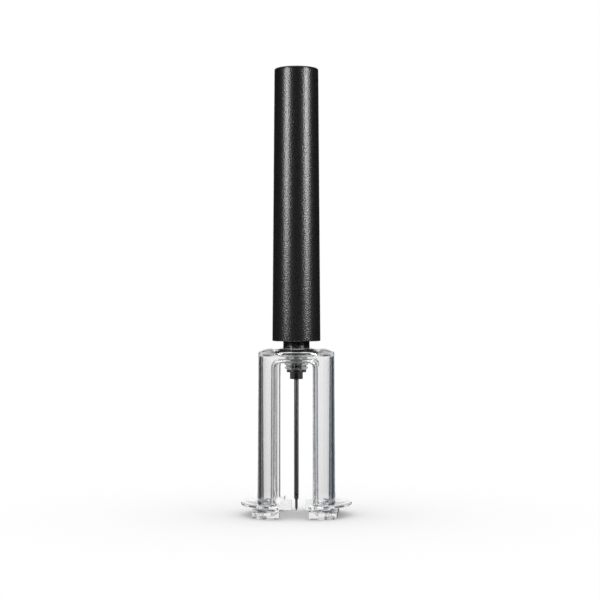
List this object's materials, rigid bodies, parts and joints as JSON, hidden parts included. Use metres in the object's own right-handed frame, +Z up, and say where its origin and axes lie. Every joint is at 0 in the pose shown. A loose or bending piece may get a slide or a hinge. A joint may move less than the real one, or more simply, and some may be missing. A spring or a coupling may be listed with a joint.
{
  "type": "air pressure wine opener",
  "caption": "Hand-pumped wine opener: clear slotted sleeve over the bottle's mouth, hollow needle through the cork, pump in the long handle, foil cutter wheels in the feet.",
  "frame": {"origin": "on the needle's axis, at the level that the feet stand on", "axes": "+Z up along the needle's axis towards the handle; -Y out through the front slot; the feet are at -X and +X"},
  "size_m": [0.053, 0.0512, 0.2145],
  "materials": {
    "handle": "black ABS with a fine sand-blasted grain",
    "cap": "black gloss",
    "barrel": "black semi-gloss nylon",
    "acetal": "natural acetal",
    "rubber": "black",
    "clear": "clear polycarbonate",
    "needle": "dark non-stick coating on steel",
    "steel": "bright stainless steel"
  },
  "bodies": {
    "base": {"sleeve": "clear", "left_foot": "clear", "right_foot": "clear", "wheel_pin_1": "steel", "wheel_pin_2": "steel", "wheel_pin_3": "steel", "wheel_pin_4": "steel", "seat_washer": "rubber", "valve_housing": "barrel", "valve_spring": "steel", "pump_barrel": "barrel", "barrel_gland": "acetal", "stop_bumper": "rubber", "needle_hub": "barrel", "needle_seal": "rubber", "needle": "needle"},
    "pump_piston": {"piston": "acetal", "piston_seal": "rubber"},
    "handle": {"handle_shell": "handle", "handle_cap": "cap", "guide_bush": "acetal", "piston_rod": "steel", "rod_washer": "steel", "rod_nut": "steel", "piston_screw": "steel"},
    "valve": {"valve_ball": "steel"},
    "wheel_1": {"cutter_wheel_1": "steel"},
    "wheel_2": {"cutter_wheel_2": "steel"},
    "wheel_3": {"cutter_wheel_3": "steel"},
    "wheel_4": {"cutter_wheel_4": "steel"}
  },
  "joints": [
    {"name": "pump_slide", "type": "slide", "parent": "base", "child": "pump_piston", "axis": [0, 0, 1], "range_m": [0, 0.0928]},
    {"name": "handle_spin", "type": "hinge", "parent": "pump_piston", "child": "handle", "pos_m": [0, 0, 0.1], "axis": [0, 0, 1], "continuous": true},
    {"name": "valve_lift", "type": "slide", "parent": "base", "child": "valve", "axis": [0, 0, -1], "range_m": [0, 0.0008], "stiffness_N_per_m": 40, "springref_m": -0.001, "deforming": ["valve_spring"]},
    {"name": "wheel_spin_1", "type": "hinge", "parent": "base", "child": "wheel_1", "pos_m": [0.01538, 0.0143, 0.00405], "axis": [0, 0, 1], "continuous": true},
    {"name": "wheel_spin_2", "type": "hinge", "parent": "base", "child": "wheel_2", "pos_m": [-0.01538, 0.0143, 0.00405], "axis": [0, 0, 1], "continuous": true},
    {"name": "wheel_spin_3", "type": "hinge", "parent": "base", "child": "wheel_3", "pos_m": [-0.01538, -0.0143, 0.00405], "axis": [0, 0, 1], "continuous": true},
    {"name": "wheel_spin_4", "type": "hinge", "parent": "base", "child": "wheel_4", "pos_m": [0.01538, -0.0143, 0.00405], "axis": [0, 0, 1], "continuous": true}
  ]
}
